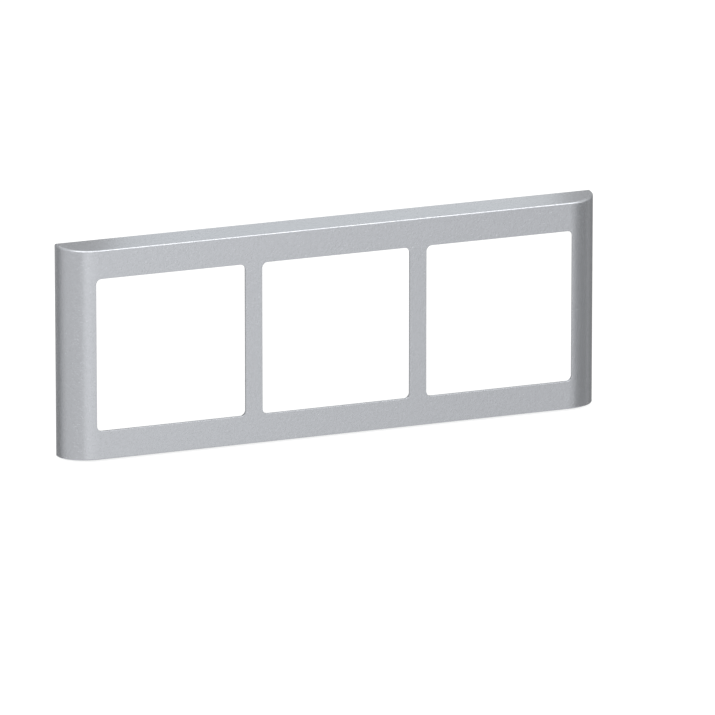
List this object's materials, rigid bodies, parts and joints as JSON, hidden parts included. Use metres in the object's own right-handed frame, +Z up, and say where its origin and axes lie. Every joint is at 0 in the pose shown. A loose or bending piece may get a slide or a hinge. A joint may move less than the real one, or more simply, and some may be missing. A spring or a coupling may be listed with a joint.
{
  "type": "switch frame",
  "caption": "Long rectangular wall cover frame with a row of square device openings, a flat front, ends that curve back to the wall and a hollow back with collars and ribs.",
  "frame": {"origin": "centre of the middle opening, in the plane of the wall that the frame sits on", "axes": "+X along the frame, +Y into the wall, so the front faces -Y, and +Z up"},
  "size_m": [0.2318, 0.0134, 0.0892],
  "materials": {
    "silver_lacquer": "matt silver metallic lacquer on moulded plastic, with a fine sparkle"
  },
  "bodies": {
    "root": {"cover_frame": "silver_lacquer"}
  },
  "joints": []
}
